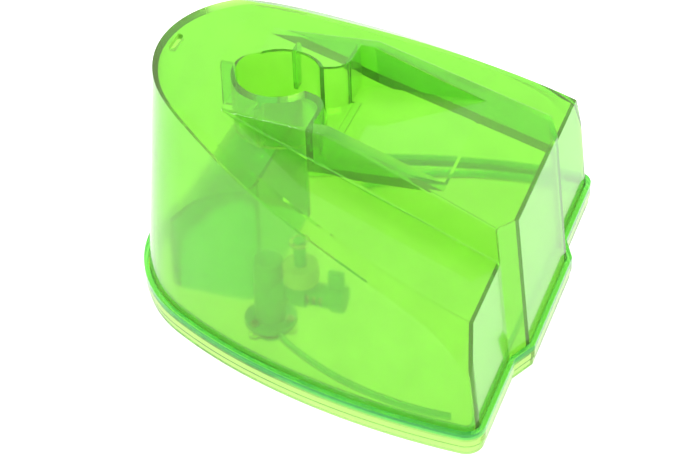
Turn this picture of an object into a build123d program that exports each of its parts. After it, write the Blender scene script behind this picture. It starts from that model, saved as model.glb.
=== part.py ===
"""Removable water tank of a compact steam-generator iron.

A clear lime shell is welded to a clear base. The roof slopes down to the docking face. A raised bay
carries the filler hole, its pour slot and a filling trough. The base has a rim, a grip recess under the
nose and the sprung outlet valve, whose strainer carries a level float on a post.

Frame: +Z up, -Y is the nose, +Y is the docking face, X = 0 is the mirror plane of the mouldings.
Millimetres. The origin is the centre of the footprint, on the surface that the tank stands on.
"""
from build123d import *
from math import cos, exp, radians, sin, tan
import os

os.makedirs("parts", exist_ok=True)

# Footprint of the shell, where it stands in the rim
NOSE_RADIUS = 62.0
NOSE_SWEEP = 60.0
REAR_Y = 83.5
NOSE_TIP_Y = -89.0
SHOULDER = (71.6, -18.8)
REAR_HALF = 88.6
REAR_CORNER_R = 6.0
JOG = 5.5

# Shell
WALL = 2.4
EDGE_R = 1.2
DRAFT = 5.2
FOOT_Z = 8.0
RIM_TOP_Z = 11.0
ROOF_REAR_Z = 57.3
ROOF_SLOPE = 20.15
NOSE_SLOPE = 8.3
ROOF_BREAK_Y = -52.5
TALL = 130.0

# Facet along each side of the roof, which swoops down to the rear corners
FACET_START_Y = -74.0
FACET_RUNOUT = 34.0
FACET_CLEAR = 2.0
FACET_DROP = 4.2
SWOOP_DROP = 23.0
SWOOP_LENGTH = 13.0
FACET_WIDTH_REAR = 5.6
FACET_WIDTH_NOSE = 10.5
FACET_STATIONS = 9

# Raised bay in the middle of the roof
BAY_RISE = 16.8
BAY_HALF_REAR = 40.6
BAY_HALF_FRONT = 30.6
BAY_LENGTH = 125.0
BAY_MID_HALF = 29.5
PLATEAU_Z = 103.3

# Filling trough in the bay
TROUGH_HALF = 29.3
TROUGH_NOSE_Y = -2.6
TROUGH_FLOOR_Z = 82.9
TROUGH_CREST_Y = 52.2

# Filler hole, its tube and the slot from the trough
FILLER_Y = -28.7
FILLER_R = 17.5
TUBE_WALL = 2.2
TUBE_END_Z = 78.0
SLOT_HALF_TUBE = 8.0
SLOT_HALF_TROUGH = 10.5
SLOT_STEP = 0.6
SLOT_FLARE_R = 6.0
GUSSET_REACH = 8.0
GUSSET_HEIGHT = 21.0
GUSSET_THICK = 2.0

# Vent in the nose
VENT_Y = -73.5
VENT_LENGTH = 11.0
VENT_WIDTH = 2.8

# Base
RIM_REACH = 2.2
RIM_STEP = 0.8
RIM_STEP_Z = 4.4
PLATE_THICK = 2.6
RIM_WALL = 2.6
WELD_GAP = 0.1
KEY_INSET = 2.8
KEY_THICK = 1.2
FLOW_RIB_THICK = 1.5
FLOW_RIB_HEIGHT = 3.0

# Grip recess moulded into the base under the nose
GRIP_HALF = 33.0
GRIP_FRONT_R = 50.0
GRIP_REAR_Y = -31.0
GRIP_TOP_Z = 64.0
GRIP_CORNER_R = 6.0

# Outlet valve, on the +X side behind the grip recess
VALVE_X = 44.0
VALVE_Y = -19.5
SPIGOT_R = 6.5
SPIGOT_END_Z = 1.2
GASKET_THICK = 0.6
FLANGE_R = 11.0
FLANGE_THICK = 2.2
CHAMBER_R = 6.5
CHAMBER_BORE_R = 4.7
CHAMBER_TOP_Z = 36.0
THROAT_R = 3.0
SEAT_Z = 13.0
SEAL_R = 4.2
SEAL_THICK = 1.2
HEAD_THICK = 1.8
STEM_R = 1.5
PIN_R = 1.3
PIN_END_Z = 2.2
FIT = 0.05
CAP_FLANGE_THICK = 1.6
CAP_PLUG_DEPTH = 3.0
VALVE_LIFT = 4.0
SPRING_WIRE = 0.7
SPRING_TURNS = 6
SPRING_R = 2.7
O_RING_WIRE = 1.6
SCREW_CIRCLE_R = 8.9
SCREW_R = 1.0
SCREW_HEAD_R = 1.8
SCREW_HEAD_THICK = 1.3
SCREW_LENGTH = 7.5
SCREW_BOSS_R = 2.6

# Strainer, lying along Y from the side of the valve
STRAINER_Z = 27.5
STRAINER_R = 5.0
STRAINER_BORE_R = 3.9
STRAINER_END_Y = 9.0
SOCKET_REACH = 2.2
SLOT_COUNT = 5
MESH_THICK = 0.3
SMALL_RING_DEPTH = 0.6
SMALL_RING_LENGTH = 0.9
END_CAP_LENGTH = 5.0
LUG_HEIGHT = 13.5
LUG_LENGTH = 7.0

# Level float on its post
POST_Y = -5.0
POST_R = 2.5
POST_TOP_Z = 55.0
SADDLE_R = 6.4
SADDLE_LENGTH = 6.4
FLOAT_R = 7.5
FLOAT_HEIGHT = 8.0
FLOAT_WALL = 0.9
FLOAT_CLEAR = 0.25
LID_THICK = 1.2
MAGNET_R = 6.0
MAGNET_BORE_R = 4.0
MAGNET_THICK = 3.0
CLIP_THICK = 1.0
CLIP_R = 4.2

nose_centre_y = NOSE_TIP_Y + NOSE_RADIUS
slope = tan(radians(ROOF_SLOPE))
nose_slope = tan(radians(NOSE_SLOPE))
lean = tan(radians(DRAFT))
bend_y = REAR_Y - (PLATEAU_Z - ROOF_REAR_Z - BAY_RISE) / slope
apex_y = REAR_Y - (PLATEAU_Z - ROOF_REAR_Z) / slope
plate_bottom_z = FOOT_Z - PLATE_THICK


def export(node, name):
    """Label a finished piece and write its STEP file."""
    node.part.label = name
    export_step(node.part, f"parts/{name}.step")


def ring(bottom, top, outer, inner, spot):
    """A plain ring standing between two heights at the (x, y) spot."""
    with BuildPart() as piece:
        with BuildSketch(Plane.XY.offset(bottom)):
            with Locations(spot):
                Circle(outer)
                Circle(inner, mode=Mode.SUBTRACT)
        extrude(amount=top - bottom)
    return piece.part


def roof_z(y):
    """Height of the roof above the mirror plane's foot at y."""
    if y > ROOF_BREAK_Y:
        return ROOF_REAR_Z + (REAR_Y - y) * slope
    return ROOF_REAR_Z + (REAR_Y - ROOF_BREAK_Y) * slope + (ROOF_BREAK_Y - y) * nose_slope


def footprint(z, grow=0.0, with_jog=False):
    """The shell's outline at its foot as a sketch at height z, grown outwards by grow."""
    with BuildSketch(Plane.XY.offset(z)) as plan:
        with BuildLine():
            nose = CenterArc((0, nose_centre_y), NOSE_RADIUS, -90, NOSE_SWEEP)
            shoulder = TangentArc(nose @ 1, SHOULDER, tangent=nose % 1)
            flank = TangentArc(shoulder @ 1, (REAR_HALF, REAR_Y), tangent=shoulder % 1)
            Line(flank @ 1, (0, REAR_Y))
            mirror(about=Plane.YZ)
        make_face()
        fillet(plan.vertices().group_by(Axis.Y)[-1].filter_by(lambda v: abs(v.X) > 1), REAR_CORNER_R)
        if with_jog:
            with BuildLine():
                Polyline(
                    (-BAY_HALF_REAR, REAR_Y),
                    (-BAY_MID_HALF, REAR_Y + JOG),
                    (BAY_MID_HALF, REAR_Y + JOG),
                    (BAY_HALF_REAR, REAR_Y),
                    (0, 0),
                    close=True,
                )
            make_face()
        if grow:
            offset(amount=grow, kind=Kind.INTERSECTION)
    return plan.sketch


def wall_half(y, z):
    """Half width of the drafted outer wall at y and z."""
    if y < SHOULDER[1]:
        start = (NOSE_RADIUS * cos(radians(90 - NOSE_SWEEP)), nose_centre_y - NOSE_RADIUS * 0.5)
        share = (y - start[1]) / (SHOULDER[1] - start[1])
        width = start[0] + (SHOULDER[0] - start[0]) * share + 2.6 * (1 - (2 * share - 1) ** 2)
    else:
        share = (y - SHOULDER[1]) / (REAR_Y - SHOULDER[1])
        width = SHOULDER[0] + (REAR_HALF - SHOULDER[0]) * share + 4.0 * (1 - (2 * share - 1) ** 2)
    return width - (z - FOOT_Z) * lean


def facet_section(y, gap):
    """Section at y of what the side facet removes: its inner edge, its outer edge and two far corners."""
    share = (REAR_Y - y) / (REAR_Y - FACET_START_Y)
    width = FACET_WIDTH_REAR + (FACET_WIDTH_NOSE - FACET_WIDTH_REAR) * share**2
    fade = min(1.0, (y - FACET_START_Y) / FACET_RUNOUT)
    drop = FACET_DROP * (0.35 + 0.65 * fade) + SWOOP_DROP * exp((y - REAR_Y) / SWOOP_LENGTH)
    top = roof_z(y)
    edge = wall_half(y, top)
    inner = (edge - width * (0.35 + 0.65 * fade), top)
    outer = (edge + drop * lean, top - drop)
    run = (outer[0] - inner[0], outer[1] - inner[1])
    size = (run[0] ** 2 + run[1] ** 2) ** 0.5
    inset = gap - FACET_CLEAR * (1 - fade) ** 2
    shift = (inset * run[1] / size, -inset * run[0] / size)
    reach = 6.0 / size
    return [
        (inner[0] - run[0] * reach + shift[0], inner[1] - run[1] * reach + shift[1]),
        (outer[0] + run[0] * reach + shift[0], outer[1] + run[1] * reach + shift[1]),
        (outer[0] + 40, outer[1] - 5),
        (outer[0] + 40, inner[1] + 40),
    ]


def facet_cutter(gap):
    """The solid that cuts the facet on the +X side."""
    step = (REAR_Y + 4 - FACET_START_Y) / (FACET_STATIONS - 1)
    with BuildPart() as cutter:
        for i in range(FACET_STATIONS):
            y = FACET_START_Y + i * step
            with BuildSketch(Plane.XZ.offset(-y)):
                Polygon(*facet_section(min(y, REAR_Y + 4), gap), align=None)
        loft()
    return cutter.part


def main_form(gap):
    """The shell's main volume, inset by gap: the drafted footprint under the sloping roof."""
    drop = gap / cos(radians(ROOF_SLOPE))
    with BuildPart() as form:
        add(footprint(FOOT_Z, -gap))
        extrude(amount=TALL, taper=DRAFT)
        with BuildSketch(Plane.YZ):
            with BuildLine():
                Polyline(
                    (REAR_Y + 20, -1),
                    (REAR_Y + 20, roof_z(REAR_Y + 20) - drop),
                    (ROOF_BREAK_Y, roof_z(ROOF_BREAK_Y) - drop),
                    (NOSE_TIP_Y - 20, roof_z(NOSE_TIP_Y - 20) - drop),
                    (NOSE_TIP_Y - 20, -1),
                    close=True,
                )
            make_face()
        extrude(amount=TALL, both=True, mode=Mode.INTERSECT)
        cutter = facet_cutter(gap)
        add(cutter, mode=Mode.SUBTRACT)
        add(mirror(cutter, about=Plane.YZ, mode=Mode.PRIVATE), mode=Mode.SUBTRACT)
    return form.part


def bay_form(gap):
    """The raised bay and the jogged middle of the docking face, inset by gap."""
    drop = gap / cos(radians(ROOF_SLOPE))
    front_y = REAR_Y - BAY_LENGTH
    with BuildPart() as bay:
        with BuildSketch(Plane.XY.offset(FOOT_Z)):
            with BuildLine():
                Polyline(
                    (-BAY_HALF_FRONT, front_y),
                    (-BAY_HALF_REAR, REAR_Y),
                    (-BAY_MID_HALF, REAR_Y + JOG),
                    (BAY_MID_HALF, REAR_Y + JOG),
                    (BAY_HALF_REAR, REAR_Y),
                    (BAY_HALF_FRONT, front_y),
                    close=True,
                )
            make_face()
            if gap:
                offset(amount=-gap, kind=Kind.INTERSECTION)
        extrude(amount=TALL / cos(radians(DRAFT)), dir=(0, -sin(radians(DRAFT)), cos(radians(DRAFT))))
        with BuildSketch(Plane.YZ):
            with BuildLine():
                Polyline(
                    (REAR_Y + 20, -1),
                    (REAR_Y + 20, roof_z(REAR_Y + 20) + BAY_RISE - drop),
                    (bend_y, PLATEAU_Z - gap),
                    (apex_y - 30, PLATEAU_Z - gap),
                    (apex_y - 30, -1),
                    close=True,
                )
            make_face()
        extrude(amount=TALL, both=True, mode=Mode.INTERSECT)
    return bay.part


def trough_form(gap):
    """The filling trough's volume, grown by gap: an open pocket whose floor runs to the nose."""
    with BuildPart() as trough:
        with BuildSketch(Plane.YZ):
            with BuildLine():
                Polyline(
                    (TROUGH_NOSE_Y - gap, TROUGH_FLOOR_Z - gap),
                    (TROUGH_CREST_Y + 2 * gap, roof_z(TROUGH_CREST_Y) + BAY_RISE - gap),
                    (TROUGH_CREST_Y + 2 * gap, TALL),
                    (TROUGH_NOSE_Y - gap, TALL),
                    close=True,
                )
            make_face()
        extrude(amount=TROUGH_HALF + 1.3 * gap, both=True)
    return trough.part


def slot_form(gap, deep):
    """The pour slot from the filler hole, flaring into the trough, grown by gap, down to deep."""
    flare_y = TROUGH_NOSE_Y - SLOT_FLARE_R
    with BuildPart() as slot:
        with BuildSketch(Plane.XY.offset(deep)):
            with BuildLine():
                side = Line((SLOT_HALF_TUBE, FILLER_Y + FILLER_R * 0.7), (SLOT_HALF_TROUGH, flare_y))
                flare = TangentArc(
                    side @ 1, (SLOT_HALF_TROUGH + SLOT_FLARE_R, TROUGH_NOSE_Y - 0.4), tangent=side % 1
                )
                mouth = Line(flare @ 1, (SLOT_HALF_TROUGH + SLOT_FLARE_R, TROUGH_NOSE_Y + 1))
                Line(mouth @ 1, (0, TROUGH_NOSE_Y + 1))
                Line((0, FILLER_Y + FILLER_R * 0.7), side @ 0)
                mirror(about=Plane.YZ)
            make_face()
            if gap:
                offset(amount=gap, kind=Kind.INTERSECTION)
        extrude(amount=TALL - deep)
    return slot.part


def grip_form(gap, start):
    """The grip recess from start up, grown by gap: a quarter dome with a flat rear wall."""
    reach = GRIP_REAR_Y - (nose_centre_y - GRIP_FRONT_R)
    with BuildPart() as grip:
        with BuildSketch(Plane.XY.offset(start)) as plan:
            with Locations((0, nose_centre_y)):
                Circle(GRIP_FRONT_R + gap)
            with Locations((0, GRIP_REAR_Y + gap)):
                Rectangle(
                    2 * (GRIP_HALF + gap), 3 * reach, align=(Align.CENTER, Align.MAX), mode=Mode.INTERSECT
                )
            fillet(plan.vertices(), GRIP_CORNER_R + gap)
        extrude(amount=TALL)
        with BuildSketch(Plane.YZ):
            with Locations((GRIP_REAR_Y + gap, 0)):
                Ellipse(reach + 2 * gap, GRIP_TOP_Z + gap)
        extrude(amount=TALL, both=True, mode=Mode.INTERSECT)
    return grip.part


def on_bay(edge):
    """True for the long edges beside the bay's top and at its foot, and for its top edge at the rear."""
    spot = edge.center()
    beside = BAY_HALF_FRONT < abs(spot.X) < BAY_HALF_REAR and spot.Y > bend_y - 30 and spot.Z > 78
    behind = abs(spot.X) < 1 and spot.Y > REAR_Y - 10 and spot.Z > ROOF_REAR_Z
    return edge.length > 20 and (beside or behind)


# The shell: outer form less cavity, then the walls of the trough, slot and tube, then their hollows
with BuildPart() as envelope:
    add(main_form(0))
    add(bay_form(0))
    fillet(envelope.edges().filter_by(on_bay), EDGE_R)

with BuildPart() as cavity:
    add(main_form(WALL))
    add(bay_form(WALL))

with BuildPart() as wells:
    add(trough_form(WALL))
    add(slot_form(WALL, TROUGH_FLOOR_Z - SLOT_STEP - WALL))
    with BuildSketch(Plane.XY.offset(TUBE_END_Z)):
        with Locations((0, FILLER_Y)):
            Circle(FILLER_R + TUBE_WALL)
    extrude(amount=TALL - TUBE_END_Z)
    for angle in (-180, -90, 0):
        with BuildSketch(Plane.XY.offset(PLATEAU_Z - GUSSET_HEIGHT)):
            with Locations((0, FILLER_Y)):
                with PolarLocations(FILLER_R + GUSSET_REACH / 2, 1, start_angle=angle):
                    Rectangle(GUSSET_REACH, GUSSET_THICK)
        extrude(amount=GUSSET_HEIGHT)
    add(envelope.part, mode=Mode.INTERSECT)

with BuildPart() as tank_shell:
    add(envelope.part)
    add(cavity.part, mode=Mode.SUBTRACT)
    add(wells.part)
    add(trough_form(0), mode=Mode.SUBTRACT)
    add(slot_form(0, TROUGH_FLOOR_Z - SLOT_STEP), mode=Mode.SUBTRACT)
    with BuildSketch(Plane.XY.offset(TUBE_END_Z - 1)):
        with Locations((0, FILLER_Y)):
            Circle(FILLER_R)
    extrude(amount=TALL - TUBE_END_Z, mode=Mode.SUBTRACT)
    with BuildSketch(Plane.XY.offset(PLATEAU_Z - 10)):
        with Locations((0, VENT_Y)):
            SlotOverall(VENT_LENGTH, VENT_WIDTH)
    extrude(amount=TALL, mode=Mode.SUBTRACT)
export(tank_shell, "tank_shell")

# Base: rim, plate, weld key, grip recess, flow ribs and the valve's screw bosses
with BuildPart() as base_plate:
    add(footprint(RIM_STEP_Z, RIM_REACH, with_jog=True))
    extrude(amount=RIM_TOP_Z - RIM_STEP_Z)
    add(footprint(0, RIM_REACH - RIM_STEP, with_jog=True))
    extrude(amount=RIM_STEP_Z)
    add(footprint(0, RIM_REACH - RIM_WALL, with_jog=True))
    extrude(amount=plate_bottom_z, mode=Mode.SUBTRACT)
    add(footprint(FOOT_Z, WELD_GAP, with_jog=True))
    extrude(amount=RIM_TOP_Z, mode=Mode.SUBTRACT)
    with BuildSketch(Plane.XY.offset(FOOT_Z)):
        add(footprint(FOOT_Z, -KEY_INSET))
        add(footprint(FOOT_Z, -KEY_INSET - KEY_THICK), mode=Mode.SUBTRACT)
    extrude(amount=RIM_TOP_Z - FOOT_Z)
    with BuildSketch(Plane.XY.offset(FOOT_Z)):
        with BuildLine():
            rib = TangentArc(
                (VALVE_X + FLANGE_R * 0.9, VALVE_Y + FLANGE_R * 0.7), (80.0, 70.0), tangent=(0.75, 1)
            )
            offset(rib, amount=FLOW_RIB_THICK / 2)
        make_face()
        mirror(about=Plane.YZ)
    extrude(amount=FLOW_RIB_HEIGHT)
    with BuildSketch(Plane.XY.offset(FOOT_Z - PLATE_THICK - 1.6)):
        with Locations((VALVE_X, VALVE_Y)):
            with PolarLocations(SCREW_CIRCLE_R, 3, start_angle=90):
                Circle(SCREW_BOSS_R)
    extrude(amount=PLATE_THICK)
    add(grip_form(WALL, plate_bottom_z))
    add(grip_form(0, 0), mode=Mode.SUBTRACT)
    with BuildSketch(Plane.XY):
        with Locations((VALVE_X, VALVE_Y)):
            Circle(SPIGOT_R + O_RING_WIRE / 2)
    extrude(amount=plate_bottom_z, mode=Mode.SUBTRACT)
    with BuildSketch(Plane.XY):
        with Locations((VALVE_X, VALVE_Y)):
            Circle(SPIGOT_R + 0.1)
    extrude(amount=RIM_TOP_Z, mode=Mode.SUBTRACT)
    with BuildSketch(Plane.XY):
        with Locations((VALVE_X, VALVE_Y)):
            with PolarLocations(SCREW_CIRCLE_R, 3, start_angle=90):
                Circle(SCREW_R)
    extrude(amount=RIM_TOP_Z, mode=Mode.SUBTRACT)
export(base_plate, "base_plate")

# Outlet valve body: spigot, flange and chamber, with the strainer's socket on its +Y side
flange_z = FOOT_Z + GASKET_THICK
groove_z = (SPIGOT_END_Z + plate_bottom_z) / 2
valve_spot = (VALVE_X, VALVE_Y)
socket_y = VALVE_Y + CHAMBER_R + SOCKET_REACH
with BuildPart() as outlet_valve_body:
    with BuildSketch(Plane.XY.offset(SPIGOT_END_Z)):
        with Locations(valve_spot):
            Circle(SPIGOT_R)
    extrude(amount=flange_z - SPIGOT_END_Z)
    with BuildSketch(Plane.XY.offset(flange_z)):
        with Locations(valve_spot):
            Circle(FLANGE_R)
    extrude(amount=FLANGE_THICK)
    with BuildSketch(Plane.XY.offset(flange_z)):
        with Locations(valve_spot):
            Circle(CHAMBER_R)
    extrude(amount=CHAMBER_TOP_Z - flange_z)
    with BuildSketch(Plane.XZ.offset(-VALVE_Y)):
        with Locations((VALVE_X, STRAINER_Z)):
            Circle(STRAINER_R + 1.2)
    extrude(amount=-(CHAMBER_R + SOCKET_REACH))
    with BuildSketch(Plane.XY.offset(SEAT_Z)):
        with Locations(valve_spot):
            Circle(CHAMBER_BORE_R)
    extrude(amount=TALL, mode=Mode.SUBTRACT)
    with BuildSketch(Plane.XY):
        with Locations(valve_spot):
            Circle(THROAT_R)
    extrude(amount=SEAT_Z, mode=Mode.SUBTRACT)
    with BuildSketch(Plane.XZ.offset(-VALVE_Y)):
        with Locations((VALVE_X, STRAINER_Z)):
            Circle(STRAINER_BORE_R)
    extrude(amount=-(CHAMBER_R + SOCKET_REACH), mode=Mode.SUBTRACT)
    with BuildSketch(Plane.XZ.offset(-(VALVE_Y + CHAMBER_R))):
        with Locations((VALVE_X, STRAINER_Z)):
            Circle(STRAINER_R)
    extrude(amount=-(SOCKET_REACH + 1), mode=Mode.SUBTRACT)
    groove = ring(
        groove_z - O_RING_WIRE / 2, groove_z + O_RING_WIRE / 2, SPIGOT_R + 1, SPIGOT_R - 1, valve_spot
    )
    add(groove, mode=Mode.SUBTRACT)
    with BuildSketch(Plane.XY.offset(flange_z)):
        with Locations(valve_spot):
            with PolarLocations(SCREW_CIRCLE_R, 3, start_angle=90):
                Circle(SCREW_R + 0.2)
    extrude(amount=FLANGE_THICK, mode=Mode.SUBTRACT)
export(outlet_valve_body, "outlet_valve_body")

with BuildPart() as outlet_gasket:
    add(ring(FOOT_Z, flange_z, FLANGE_R - 0.3, SPIGOT_R + 0.1, valve_spot))
    with BuildSketch(Plane.XY.offset(FOOT_Z)):
        with Locations(valve_spot):
            with PolarLocations(SCREW_CIRCLE_R, 3, start_angle=90):
                Circle(SCREW_R + 0.2)
    extrude(amount=GASKET_THICK, mode=Mode.SUBTRACT)
export(outlet_gasket, "outlet_gasket")

screw_seat_z = flange_z + FLANGE_THICK
with BuildPart() as outlet_screws:
    with BuildSketch(Plane.XY.offset(screw_seat_z)):
        with Locations(valve_spot):
            with PolarLocations(SCREW_CIRCLE_R, 3, start_angle=90):
                Circle(SCREW_HEAD_R)
    extrude(amount=SCREW_HEAD_THICK)
    with BuildSketch(Plane.XY.offset(screw_seat_z - SCREW_LENGTH + SCREW_HEAD_THICK)):
        with Locations(valve_spot):
            with PolarLocations(SCREW_CIRCLE_R, 3, start_angle=90):
                Circle(SCREW_R)
    extrude(amount=SCREW_LENGTH - SCREW_HEAD_THICK)
    with BuildSketch(Plane.XY.offset(screw_seat_z + SCREW_HEAD_THICK)):
        with Locations(valve_spot):
            with PolarLocations(SCREW_CIRCLE_R, 3, start_angle=90):
                Rectangle(2.2, 0.5)
                Rectangle(0.5, 2.2)
    extrude(amount=-0.7, mode=Mode.SUBTRACT)
export(outlet_screws, "outlet_screws")

with BuildPart() as spigot_o_ring:
    with BuildSketch(Plane.XZ.offset(-VALVE_Y)):
        with Locations((VALVE_X + SPIGOT_R - 1.0 + O_RING_WIRE / 2, groove_z)):
            Circle(O_RING_WIRE / 2 - 0.02)
    revolve(axis=Axis((VALVE_X, VALVE_Y, 0), (0, 0, 1)))
export(spigot_o_ring, "spigot_o_ring")

# Poppet: pin through the throat, head over the seal, stem up into the cap
head_z = SEAT_Z + SEAL_THICK
cap_z = CHAMBER_TOP_Z - CAP_PLUG_DEPTH
with BuildPart() as valve_stem:
    with BuildSketch(Plane.XY.offset(head_z)):
        with Locations(valve_spot):
            Circle(SEAL_R)
    extrude(amount=HEAD_THICK)
    with BuildSketch(Plane.XY.offset(PIN_END_Z)):
        with Locations(valve_spot):
            Circle(PIN_R)
    extrude(amount=head_z - PIN_END_Z)
    with BuildSketch(Plane.XY.offset(head_z + HEAD_THICK)):
        with Locations(valve_spot):
            Circle(STEM_R)
    extrude(amount=cap_z + 1.5 - head_z - HEAD_THICK)
    fillet(valve_stem.edges().group_by(Axis.Z)[0], 0.6)
export(valve_stem, "valve_stem")

with BuildPart() as valve_seal:
    add(ring(SEAT_Z + 0.02, head_z, SEAL_R, PIN_R, valve_spot))
export(valve_seal, "valve_seal")

spring_low = head_z + HEAD_THICK + SPRING_WIRE / 2 + 0.02
spring_high = cap_z - SPRING_WIRE / 2 - 0.02
with BuildPart() as valve_spring:
    with BuildLine() as coil:
        Helix(
            pitch=(spring_high - spring_low) / SPRING_TURNS,
            height=spring_high - spring_low,
            radius=SPRING_R,
            center=(VALVE_X, VALVE_Y, spring_low),
        )
    with BuildSketch(Plane(origin=coil.line @ 0, z_dir=coil.line % 0)):
        Circle(SPRING_WIRE / 2)
    sweep(path=coil.line, is_frenet=True)
export(valve_spring, "valve_spring")

with BuildPart() as valve_cap:
    with BuildSketch(Plane.XY.offset(CHAMBER_TOP_Z)):
        with Locations(valve_spot):
            Circle(CHAMBER_R)
    extrude(amount=CAP_FLANGE_THICK + VALVE_LIFT)
    fillet(valve_cap.edges().group_by(Axis.Z)[-1], 1.5)
    with BuildSketch(Plane.XY.offset(cap_z)):
        with Locations(valve_spot):
            Circle(CHAMBER_BORE_R - FIT)
    extrude(amount=CAP_PLUG_DEPTH)
    with BuildSketch(Plane.XY.offset(cap_z)):
        with Locations(valve_spot):
            Circle(STEM_R + FIT)
    extrude(amount=CAP_PLUG_DEPTH + VALVE_LIFT, mode=Mode.SUBTRACT)
export(valve_cap, "valve_cap")

# Strainer: a slotted tube with a mesh sleeve inside and a cap with a pull lug on its far end
strainer_start = VALVE_Y + CHAMBER_R
slot_pitch = (STRAINER_END_Y - socket_y - 6) / SLOT_COUNT
groove_y = (strainer_start + socket_y) / 2
with BuildPart() as strainer_body:
    with BuildSketch(Plane.XZ.offset(-strainer_start)):
        with Locations((VALVE_X, STRAINER_Z)):
            Circle(STRAINER_R - 0.02)
            Circle(STRAINER_BORE_R, mode=Mode.SUBTRACT)
    extrude(amount=-(STRAINER_END_Y - strainer_start))
    for i in range(SLOT_COUNT):
        slot_y = socket_y + 3 + (i + 0.5) * slot_pitch
        with BuildSketch(Plane.XZ.offset(-(slot_y - slot_pitch * 0.3))):
            with Locations((VALVE_X, STRAINER_Z)):
                Rectangle(4 * STRAINER_R, STRAINER_R)
        extrude(amount=-slot_pitch * 0.6, mode=Mode.SUBTRACT)
    with BuildSketch(Plane.XZ.offset(-groove_y + SMALL_RING_LENGTH / 2)):
        with Locations((VALVE_X, STRAINER_Z)):
            Circle(STRAINER_R + 1)
            Circle(STRAINER_R - SMALL_RING_DEPTH, mode=Mode.SUBTRACT)
    extrude(amount=-SMALL_RING_LENGTH, mode=Mode.SUBTRACT)
export(strainer_body, "strainer_body")

with BuildPart() as strainer_o_ring:
    with BuildSketch(Plane.XZ.offset(-groove_y + SMALL_RING_LENGTH / 2)):
        with Locations((VALVE_X, STRAINER_Z)):
            Circle(STRAINER_R - 0.01)
            Circle(STRAINER_R - SMALL_RING_DEPTH, mode=Mode.SUBTRACT)
    extrude(amount=-SMALL_RING_LENGTH)
export(strainer_o_ring, "strainer_o_ring")

with BuildPart() as strainer_mesh:
    with BuildSketch(Plane.XZ.offset(-strainer_start)):
        with Locations((VALVE_X, STRAINER_Z)):
            Circle(STRAINER_BORE_R - 0.02)
            Circle(STRAINER_BORE_R - MESH_THICK, mode=Mode.SUBTRACT)
    extrude(amount=-(STRAINER_END_Y - strainer_start))
export(strainer_mesh, "strainer_mesh")

with BuildPart() as strainer_end_cap:
    with BuildSketch(Plane.XZ.offset(-STRAINER_END_Y)):
        with Locations((VALVE_X, STRAINER_Z)):
            Circle(STRAINER_R + 0.8)
    extrude(amount=-END_CAP_LENGTH)
    with BuildSketch(Plane.XY.offset(STRAINER_Z)):
        with Locations((VALVE_X, STRAINER_END_Y + END_CAP_LENGTH)):
            RectangleRounded(3.0, LUG_LENGTH, 1.2, align=(Align.CENTER, Align.MAX))
    extrude(amount=LUG_HEIGHT)
    with BuildSketch(Plane.XZ.offset(-(STRAINER_END_Y - LUG_LENGTH))):
        with Locations((VALVE_X, STRAINER_Z)):
            Circle(STRAINER_R + 0.02)
    extrude(amount=-LUG_LENGTH, mode=Mode.SUBTRACT)
export(strainer_end_cap, "strainer_end_cap")

# Level float: a post on a saddle round the strainer, a hollow float with a magnet, and a stop clip
post_spot = (VALVE_X, POST_Y)
saddle_top = STRAINER_Z + SADDLE_R
with BuildPart() as float_post:
    with BuildSketch(Plane.XZ.offset(-(POST_Y - SADDLE_LENGTH / 2))):
        with Locations((VALVE_X, STRAINER_Z)):
            Circle(SADDLE_R)
    extrude(amount=-SADDLE_LENGTH)
    with BuildSketch(Plane.XY.offset(STRAINER_Z)):
        with Locations(post_spot):
            Circle(POST_R)
    extrude(amount=POST_TOP_Z - STRAINER_Z)
    with BuildSketch(Plane.XZ.offset(-(POST_Y - SADDLE_LENGTH))):
        with Locations((VALVE_X, STRAINER_Z)):
            Circle(STRAINER_R)
    extrude(amount=-2 * SADDLE_LENGTH, mode=Mode.SUBTRACT)
    with BuildSketch(Plane.XY.offset(0)):
        with Locations(post_spot):
            Rectangle(5.0, 2 * SADDLE_LENGTH)
    extrude(amount=STRAINER_Z - STRAINER_R * 0.5, mode=Mode.SUBTRACT)
    clip_z = POST_TOP_Z - 2 * CLIP_THICK
    add(ring(clip_z, clip_z + CLIP_THICK, POST_R + 1, POST_R - 0.5, post_spot), mode=Mode.SUBTRACT)
    fillet(float_post.edges().group_by(Axis.Z)[-1], 0.5)
export(float_post, "float_post")

float_z = saddle_top + 0.3
float_bore = POST_R + FLOAT_CLEAR
with BuildPart() as float_body:
    add(ring(float_z, float_z + FLOAT_HEIGHT - LID_THICK, FLOAT_R, float_bore, post_spot))
    add(
        ring(
            float_z + FLOAT_WALL,
            float_z + FLOAT_HEIGHT,
            FLOAT_R - FLOAT_WALL,
            float_bore + FLOAT_WALL,
            post_spot,
        ),
        mode=Mode.SUBTRACT,
    )
export(float_body, "float_body")

with BuildPart() as float_lid:
    add(ring(float_z + FLOAT_HEIGHT - LID_THICK, float_z + FLOAT_HEIGHT, FLOAT_R, float_bore, post_spot))
    fillet(float_lid.edges().group_by(Axis.Z)[-1].sort_by(SortBy.RADIUS)[-1], 0.6)
export(float_lid, "float_lid")

with BuildPart() as float_magnet:
    add(
        ring(
            float_z + FLOAT_WALL,
            float_z + FLOAT_WALL + MAGNET_THICK,
            MAGNET_R,
            MAGNET_BORE_R,
            post_spot,
        )
    )
export(float_magnet, "float_magnet")

with BuildPart() as float_stop_clip:
    with BuildSketch(Plane.XY.offset(clip_z)):
        with Locations(post_spot):
            Circle(CLIP_R)
            Circle(POST_R - 0.5, mode=Mode.SUBTRACT)
        with Locations((VALVE_X, POST_Y + CLIP_R)):
            Rectangle(2.6, CLIP_R, mode=Mode.SUBTRACT)
    extrude(amount=CLIP_THICK)
export(float_stop_clip, "float_stop_clip")
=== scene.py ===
"""Looks for the removable lime-tinted water tank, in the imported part's frame. Lengths are in metres."""
import math
import bpy
from mathutils import Matrix, Vector


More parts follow.
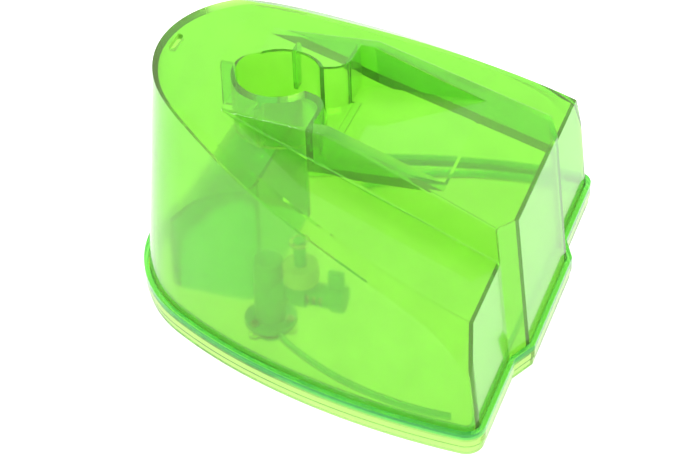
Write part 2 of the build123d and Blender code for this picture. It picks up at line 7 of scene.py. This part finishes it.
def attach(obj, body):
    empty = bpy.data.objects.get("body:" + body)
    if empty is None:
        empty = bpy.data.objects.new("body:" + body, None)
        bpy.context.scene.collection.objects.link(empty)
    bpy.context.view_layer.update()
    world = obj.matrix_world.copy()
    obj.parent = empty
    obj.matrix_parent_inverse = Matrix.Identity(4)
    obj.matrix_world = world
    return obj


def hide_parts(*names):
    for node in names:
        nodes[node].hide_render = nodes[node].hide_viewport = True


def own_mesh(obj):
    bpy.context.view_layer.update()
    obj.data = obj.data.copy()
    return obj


# Socket numbers of a Mix node set to blend colours
MIX_FACTOR, MIX_LOW, MIX_HIGH, MIX_RESULT = 0, 6, 7, 2

NOISE_DETAIL = 3.0
TONE_DARKEST = 0.92
TONE_LIGHTEST = 1.06

PLASTIC_IOR = 1.2
PLASTIC_COAT = 0.3
PLASTIC_COAT_ROUGH = 0.04
PLASTIC_NOISE_SCALE = 60.0
# How far a face's normal leans towards Z: frosted below the first value, glossy above the second
FROSTED_BELOW = 0.2
GLOSSY_ABOVE = 0.6

COIL_STEPS_PER_TURN = 24
COIL_SIDES = 10

FLOOR_SIZE = 12.0
FLOOR_Z = -0.0004
FLOOR_EMISSION = 1.08
WORLD_STRENGTH = 1.0

LIGHT_TARGET = (0, 0, 0.05)
LIGHT_SIDE = 0.35

CAMERA_LENS_MM = 119.1
CAMERA_SENSOR_MM = 36.0
CAMERA_PLACE = (0.73005, 0.27102, 0.64148)
# Azimuth 0 looks along +Y and 90 along -X
CAMERA_AZIMUTH, CAMERA_ELEVATION, CAMERA_ROLL = 110.33, 38.33, -2.0

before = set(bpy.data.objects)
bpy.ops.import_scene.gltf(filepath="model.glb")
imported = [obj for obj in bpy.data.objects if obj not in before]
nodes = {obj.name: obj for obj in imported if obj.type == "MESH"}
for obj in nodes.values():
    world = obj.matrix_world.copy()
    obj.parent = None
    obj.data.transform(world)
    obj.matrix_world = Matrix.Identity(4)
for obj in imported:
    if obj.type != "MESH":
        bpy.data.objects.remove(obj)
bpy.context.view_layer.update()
scene = bpy.context.scene
scene.view_settings.view_transform = "Standard"


def shader(name, colour, rough, noise_scale=180.0, spread=0.03, metallic=0.0, specular=0.5):
    """Opaque material whose roughness and tone wander a little with a noise texture."""
    mat = bpy.data.materials.new(name)
    mat.use_nodes = True
    tree = mat.node_tree
    bsdf = tree.nodes["Principled BSDF"]
    place = tree.nodes.new("ShaderNodeTexCoord")
    noise = tree.nodes.new("ShaderNodeTexNoise")
    noise.inputs["Scale"].default_value = noise_scale
    noise.inputs["Detail"].default_value = NOISE_DETAIL
    tree.links.new(place.outputs["Object"], noise.inputs["Vector"])
    spread_node = tree.nodes.new("ShaderNodeMapRange")
    spread_node.inputs["To Min"].default_value = rough - spread
    spread_node.inputs["To Max"].default_value = rough + spread
    tree.links.new(noise.outputs["Fac"], spread_node.inputs["Value"])
    tree.links.new(spread_node.outputs["Result"], bsdf.inputs["Roughness"])
    tone = tree.nodes.new("ShaderNodeMix")
    tone.data_type = "RGBA"
    tone.inputs[MIX_LOW].default_value = (*[c * TONE_DARKEST for c in colour], 1)
    tone.inputs[MIX_HIGH].default_value = (*[min(1.0, c * TONE_LIGHTEST) for c in colour], 1)
    tree.links.new(noise.outputs["Fac"], tone.inputs[MIX_FACTOR])
    tree.links.new(tone.outputs[MIX_RESULT], bsdf.inputs["Base Color"])
    bsdf.inputs["Metallic"].default_value = metallic
    bsdf.inputs["Specular IOR Level"].default_value = specular
    return mat


def tinted(name, rough, spread, side_rough, clear, haze, density, tint):
    """Clear tinted plastic: colour absorbed in the wall, a little haze, and faces that look sideways frosted."""
    mat = shader(name, haze, rough, PLASTIC_NOISE_SCALE, spread)
    tree = mat.node_tree
    bsdf = tree.nodes["Principled BSDF"]
    bsdf.inputs["Transmission Weight"].default_value = clear
    bsdf.inputs["IOR"].default_value = PLASTIC_IOR
    bsdf.inputs["Coat Weight"].default_value = PLASTIC_COAT
    bsdf.inputs["Coat Roughness"].default_value = PLASTIC_COAT_ROUGH
    facing = tree.nodes.new("ShaderNodeNewGeometry")
    split = tree.nodes.new("ShaderNodeSeparateXYZ")
    tree.links.new(facing.outputs["Normal"], split.inputs["Vector"])
    level = tree.nodes.new("ShaderNodeMath")
    level.operation = "ABSOLUTE"
    tree.links.new(split.outputs["Z"], level.inputs[0])
    frost = tree.nodes.new("ShaderNodeMapRange")
    frost.inputs["From Min"].default_value = FROSTED_BELOW
    frost.inputs["From Max"].default_value = GLOSSY_ABOVE
    frost.inputs["To Min"].default_value = side_rough
    frost.inputs["To Max"].default_value = 0.0
    tree.links.new(level.outputs["Value"], frost.inputs["Value"])
    total = tree.nodes.new("ShaderNodeMath")
    total.operation = "ADD"
    tree.links.new(tree.nodes["Map Range"].outputs["Result"], total.inputs[0])
    tree.links.new(frost.outputs["Result"], total.inputs[1])
    tree.links.new(total.outputs["Value"], bsdf.inputs["Roughness"])
    volume = tree.nodes.new("ShaderNodeVolumeAbsorption")
    volume.inputs["Color"].default_value = (*tint, 1)
    volume.inputs["Density"].default_value = density
    tree.links.new(volume.outputs["Volume"], tree.nodes["Material Output"].inputs["Volume"])
    return mat


def deepen(mat, start, end, colour, clear):
    """Turn the material deeper and less clear above a height, over the band from start to end."""
    tree = mat.node_tree
    bsdf = tree.nodes["Principled BSDF"]
    where = tree.nodes.new("ShaderNodeTexCoord")
    split = tree.nodes.new("ShaderNodeSeparateXYZ")
    tree.links.new(where.outputs["Object"], split.inputs["Vector"])
    rise = tree.nodes.new("ShaderNodeMapRange")
    rise.inputs["From Min"].default_value = start
    rise.inputs["From Max"].default_value = end
    tree.links.new(split.outputs["Z"], rise.inputs["Value"])
    blend = tree.nodes.new("ShaderNodeMix")
    blend.data_type = "RGBA"
    tree.links.new(rise.outputs["Result"], blend.inputs[MIX_FACTOR])
    tree.links.new(bsdf.inputs["Base Color"].links[0].from_socket, blend.inputs[MIX_LOW])
    blend.inputs[MIX_HIGH].default_value = (*colour, 1)
    tree.links.new(blend.outputs[MIX_RESULT], bsdf.inputs["Base Color"])
    thick = tree.nodes.new("ShaderNodeMapRange")
    thick.inputs["To Min"].default_value = bsdf.inputs["Transmission Weight"].default_value
    thick.inputs["To Max"].default_value = clear
    tree.links.new(rise.outputs["Result"], thick.inputs["Value"])
    tree.links.new(thick.outputs["Result"], bsdf.inputs["Transmission Weight"])


def wear(node_names, mat):
    """Give the named CAD nodes this material."""
    for n in node_names:
        mesh = nodes[n].data
        mesh.materials.clear()
        mesh.materials.append(mat)


shell = tinted(
    "shell",
    rough=0.06,
    spread=0.02,
    side_rough=0.09,
    clear=0.86,
    haze=(0.61, 0.95, 0.26),
    density=165.0,
    tint=(0.40, 0.86, 0.02),
)
wear(["tank_shell"], shell)
base = tinted(
    "base",
    rough=0.08,
    spread=0.02,
    side_rough=0.06,
    clear=0.85,
    haze=(0.62, 0.95, 0.34),
    density=165.0,
    tint=(0.84, 0.95, 0.14),
)
deepen(base, start=0.0080, end=0.0086, colour=(0.14, 0.80, 0.22), clear=0.72)
wear(["base_plate"], base)
wear(
    ["outlet_valve_body", "valve_cap", "valve_stem", "strainer_body", "strainer_end_cap", "float_post"],
    shader("moulding", (0.14, 0.66, 0.36), rough=0.42),
)
wear(["float_body", "float_lid"], shader("float", (0.80, 0.82, 0.80), rough=0.6))
wear(
    ["outlet_gasket", "spigot_o_ring", "valve_seal", "strainer_o_ring"],
    shader("seal", (0.03, 0.03, 0.03), rough=0.6),
)
stainless = shader("stainless", (0.55, 0.55, 0.57), rough=0.32, noise_scale=400, spread=0.05, metallic=1.0)
wear(["outlet_screws", "valve_spring", "strainer_mesh", "float_stop_clip"], stainless)
wear(["float_magnet"], shader("ferrite", (0.05, 0.05, 0.055), rough=0.6))


def coil(name, centre, radius, wire, low, high, turns, mat):
    """A coil spring as a tube along a helix, standing along Z between two heights of its wire's centre."""
    steps = COIL_STEPS_PER_TURN * turns
    points, faces = [], []
    pitch = (high - low) / (turns * 2 * math.pi)
    for i in range(steps + 1):
        turn = 2 * math.pi * turns * i / steps
        out = Vector((math.cos(turn), math.sin(turn), 0))
        along = Vector((-radius * math.sin(turn), radius * math.cos(turn), pitch)).normalized()
        across = along.cross(out)
        middle = Vector(centre) + out * radius + Vector((0, 0, low + pitch * turn))
        for j in range(COIL_SIDES):
            a = 2 * math.pi * j / COIL_SIDES
            points.append(middle + (out * math.cos(a) + across * math.sin(a)) * wire / 2)
    for i in range(steps):
        ring, above = i * COIL_SIDES, (i + 1) * COIL_SIDES
        for j in range(COIL_SIDES):
            k = (j + 1) % COIL_SIDES
            faces.append((ring + j, ring + k, above + k, above + j))
    faces.append(tuple(range(COIL_SIDES)))
    faces.append(tuple(reversed(range(steps * COIL_SIDES, (steps + 1) * COIL_SIDES))))
    mesh = bpy.data.meshes.new(name)
    mesh.from_pydata(points, [], faces)
    mesh.update()
    for face in mesh.polygons[:-2]:
        face.use_smooth = True
    mesh.materials.append(mat)
    obj = bpy.data.objects.new(name, mesh)
    scene.collection.objects.link(obj)
    return obj


spring = coil(
    "spring",
    centre=(0.044, -0.0195, 0),
    radius=0.0027,
    wire=0.0007,
    low=0.01638,
    high=0.03262,
    turns=6,
    mat=stainless,
)
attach(spring, "tank")
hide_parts("valve_spring")
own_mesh(spring)


def plate(name, size, height, mat):
    """A square floor made with mesh code."""
    mesh = bpy.data.meshes.new(name)
    h = size / 2
    mesh.from_pydata([(-h, -h, height), (h, -h, height), (h, h, height), (-h, h, height)], [], [(0, 1, 2, 3)])
    obj = bpy.data.objects.new(name, mesh)
    scene.collection.objects.link(obj)
    mesh.materials.append(mat)


lit_floor = shader("floor", (0.36, 0.36, 0.36), rough=0.8, noise_scale=3.0, spread=0.02, specular=0.2)
floor_bsdf = lit_floor.node_tree.nodes["Principled BSDF"]
floor_bsdf.inputs["Emission Color"].default_value = (1, 1, 1, 1)
floor_bsdf.inputs["Emission Strength"].default_value = FLOOR_EMISSION
plate("floor", FLOOR_SIZE, FLOOR_Z, lit_floor)

world = bpy.data.worlds.new("studio")
scene.world = world
world.use_nodes = True
sky = world.node_tree.nodes["Background"]
sky.inputs["Color"].default_value = (1, 1, 1, 1)
sky.inputs["Strength"].default_value = WORLD_STRENGTH


def softbox(name, place, watts):
    """A square area light aimed at the tank's middle."""
    data = bpy.data.lights.new(name, "AREA")
    data.shape = "RECTANGLE"
    data.size = LIGHT_SIDE
    data.size_y = LIGHT_SIDE
    data.energy = watts
    obj = bpy.data.objects.new(name, data)
    scene.collection.objects.link(obj)
    obj.location = place
    obj.rotation_mode = "QUATERNION"
    obj.rotation_quaternion = (Vector(LIGHT_TARGET) - Vector(place)).to_track_quat("-Z", "Y")


softbox("key", (-0.7, -0.2, 1.3), watts=9)
softbox("fill", (1.2, -0.9, 1.1), watts=7)

azimuth, elevation, roll = (math.radians(v) for v in (CAMERA_AZIMUTH, CAMERA_ELEVATION, CAMERA_ROLL))
sideways = Vector((math.cos(azimuth), math.sin(azimuth), 0))
ahead = Vector(
    (-math.sin(azimuth) * math.cos(elevation), math.cos(azimuth) * math.cos(elevation), -math.sin(elevation))
)
above = sideways.cross(ahead)
right = sideways * math.cos(roll) + above * math.sin(roll)
upward = right.cross(ahead)
lens = bpy.data.cameras.new("camera")
lens.lens = CAMERA_LENS_MM
lens.sensor_width = CAMERA_SENSOR_MM
camera = bpy.data.objects.new("camera", lens)
scene.collection.objects.link(camera)
camera.matrix_world = Matrix(
    (
        (right.x, upward.x, -ahead.x, CAMERA_PLACE[0]),
        (right.y, upward.y, -ahead.y, CAMERA_PLACE[1]),
        (right.z, upward.z, -ahead.z, CAMERA_PLACE[2]),
        (0, 0, 0, 1),
    )
)
scene.camera = camera
